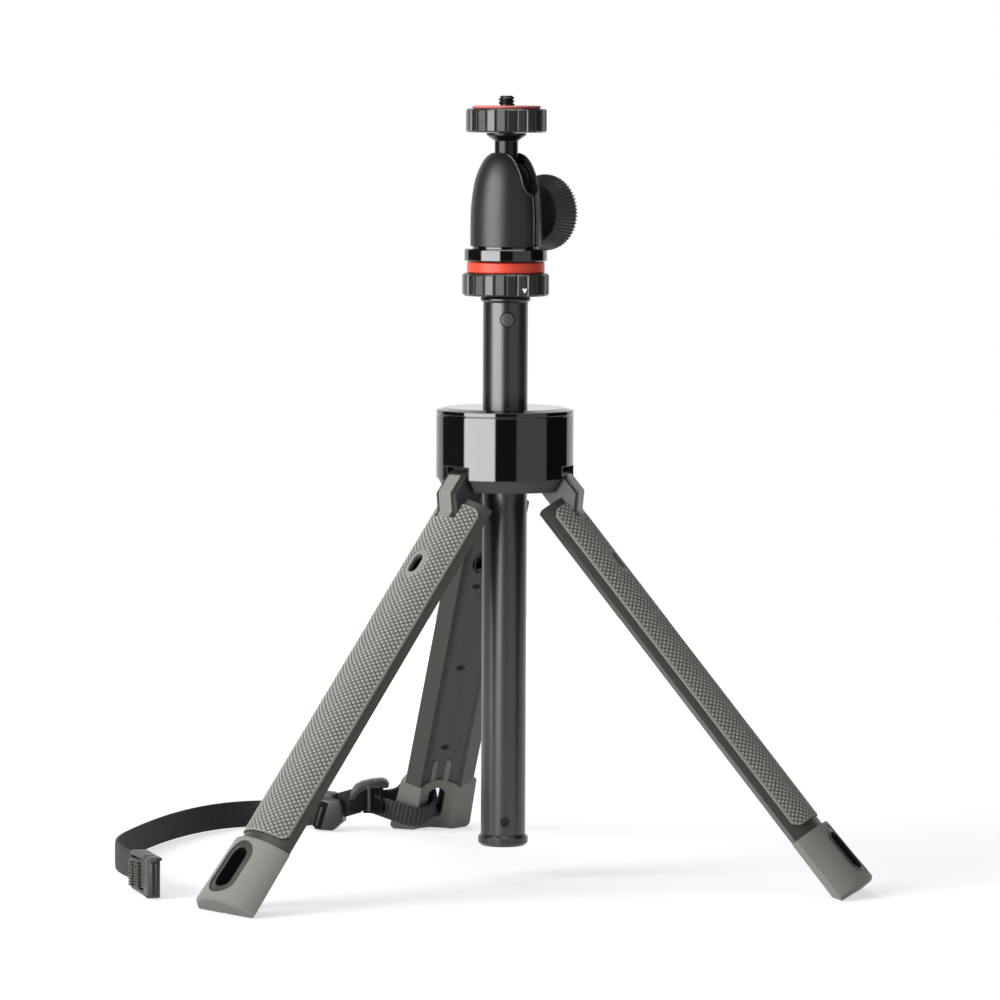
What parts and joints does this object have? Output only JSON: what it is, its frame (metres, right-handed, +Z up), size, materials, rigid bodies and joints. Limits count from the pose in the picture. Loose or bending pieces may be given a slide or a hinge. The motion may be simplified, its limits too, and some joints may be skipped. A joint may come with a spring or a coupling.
{
  "type": "telescoping tripod",
  "caption": "Small tabletop tripod whose folding legs close round a telescoping pole that serves as a hand grip, with a ball head, a camera screw and a wrist strap.",
  "frame": {"origin": "on the floor, on the pole's axis", "axes": "+Z up along the pole, -Y to the front, where the release button faces, +X to the right"},
  "size_m": [0.2969, 0.2537, 0.307],
  "materials": {
    "grip": "matte",
    "foot": "matte",
    "shell": "satin",
    "yoke": "satin",
    "gloss": "gloss",
    "black": "satin",
    "tube": "satin",
    "head": "satin",
    "accent": "satin",
    "pad": "matte",
    "steel": "satin",
    "dark_steel": "satin",
    "webbing": "matte",
    "buckle": "satin"
  },
  "bodies": {
    "base": {"outer_tube": "tube", "tube_collar": "black", "button_spring": "steel", "end_cap": "black", "cap_pin": "dark_steel", "hub_shell": "gloss", "hub_lid": "gloss", "hub_core": "black", "hub_skirt": "shell", "hinge_pins": "steel", "hub_screws": "dark_steel"},
    "release_button": {"release_button": "tube"},
    "second_stage": {"second_tube": "tube", "second_slider": "black"},
    "third_stage": {"third_tube": "tube", "third_slider": "black"},
    "top_stage": {"top_tube": "tube", "top_slider": "black", "head_base": "black", "accent_ring": "accent", "lock_ring_clip": "steel", "pan_bolt": "steel", "pan_washer": "steel"},
    "lock_ring": {"lock_ring": "black"},
    "pan_head": {"pan_base_ring": "gloss", "housing_screws": "dark_steel", "head_housing": "head", "ball_liner": "black", "clamp_nut": "dark_steel"},
    "clamp_knob": {"clamp_knob": "black", "clamp_screw": "steel"},
    "ball": {"tilt_ball": "dark_steel", "ball_stem": "dark_steel", "camera_screw": "dark_steel"},
    "platform": {"platform_disc": "black", "platform_pad": "pad"},
    "buckle_lever": {"end_buckle_lever": "buckle"},
    "right_leg": {"right_yoke": "yoke", "right_leg_shell": "shell", "right_leg_grip": "grip", "right_leg_liner": "shell", "right_leg_screws": "dark_steel", "right_foot": "foot"},
    "left_leg": {"left_yoke": "yoke", "left_leg_shell": "shell", "left_leg_grip": "grip", "left_leg_liner": "shell", "left_leg_screws": "dark_steel", "left_foot": "foot"},
    "rear_leg": {"rear_yoke": "yoke", "rear_leg_shell": "shell", "rear_leg_grip": "grip", "rear_leg_liner": "shell", "rear_leg_screws": "dark_steel", "rear_foot": "foot", "strap_loop": "webbing", "strap_band": "webbing", "strap_clip": "buckle", "strap_slider": "buckle", "end_buckle": "buckle"}
  },
  "joints": [
    {"name": "right_leg_fold", "type": "hinge", "parent": "base", "child": "right_leg", "pos_m": [0.01764, -0.00556, 0.16335], "axis": [0.3007, 0.9537, 0], "range_deg": [0, 39.5]},
    {"name": "left_leg_fold", "type": "hinge", "parent": "base", "child": "left_leg", "pos_m": [-0.01364, -0.0125, 0.16335], "axis": [0.6756, -0.7373, 0], "range_deg": [0, 39.5]},
    {"name": "rear_leg_fold", "type": "hinge", "parent": "base", "child": "rear_leg", "pos_m": [-0.004, 0.01806, 0.16335], "axis": [-0.9763, -0.2164, 0], "range_deg": [0, 39.5], "deforming": ["strap_loop"]},
    {"name": "second_tube_slide", "type": "slide", "parent": "base", "child": "second_stage", "axis": [0, 0, 1], "range_m": [0, 0.163]},
    {"name": "third_tube_slide", "type": "slide", "parent": "second_stage", "child": "third_stage", "axis": [0, 0, 1], "range_m": [0, 0.163]},
    {"name": "top_tube_slide", "type": "slide", "parent": "third_stage", "child": "top_stage", "axis": [0, 0, 1], "range_m": [0, 0.163]},
    {"name": "release_button_press", "type": "slide", "parent": "base", "child": "release_button", "axis": [-0.0872, 0.9962, 0], "range_m": [0, 0.0006], "stiffness_N_per_m": 800, "deforming": ["button_spring"]},
    {"name": "lock_ring_turn", "type": "hinge", "parent": "top_stage", "child": "lock_ring", "pos_m": [0, 0, 0.2335], "axis": [0, 0, 1], "range_deg": [0, 60]},
    {"name": "head_pan", "type": "hinge", "parent": "top_stage", "child": "pan_head", "pos_m": [0, 0, 0.245], "axis": [0, 0, 1], "continuous": true},
    {"name": "clamp_knob_turn", "type": "hinge", "parent": "pan_head", "child": "clamp_knob", "pos_m": [0, 0, 0.2611], "axis": [0.5736, 0.8192, 0], "range_deg": [0, 270]},
    {"name": "ball_tilt", "type": "hinge", "parent": "pan_head", "child": "ball", "pos_m": [0, 0, 0.2731], "axis": [0.5736, 0.8192, 0], "range_deg": [-3, 90]},
    {"name": "platform_turn", "type": "hinge", "parent": "ball", "child": "platform", "pos_m": [0, 0, 0.297], "axis": [0, 0, 1], "continuous": true},
    {"name": "buckle_lever_open", "type": "hinge", "parent": "rear_leg", "child": "buckle_lever", "pos_m": [-0.13676, -0.04966, 0.0078], "axis": [0, 0, 1], "range_deg": [0, 85]}
  ]
}
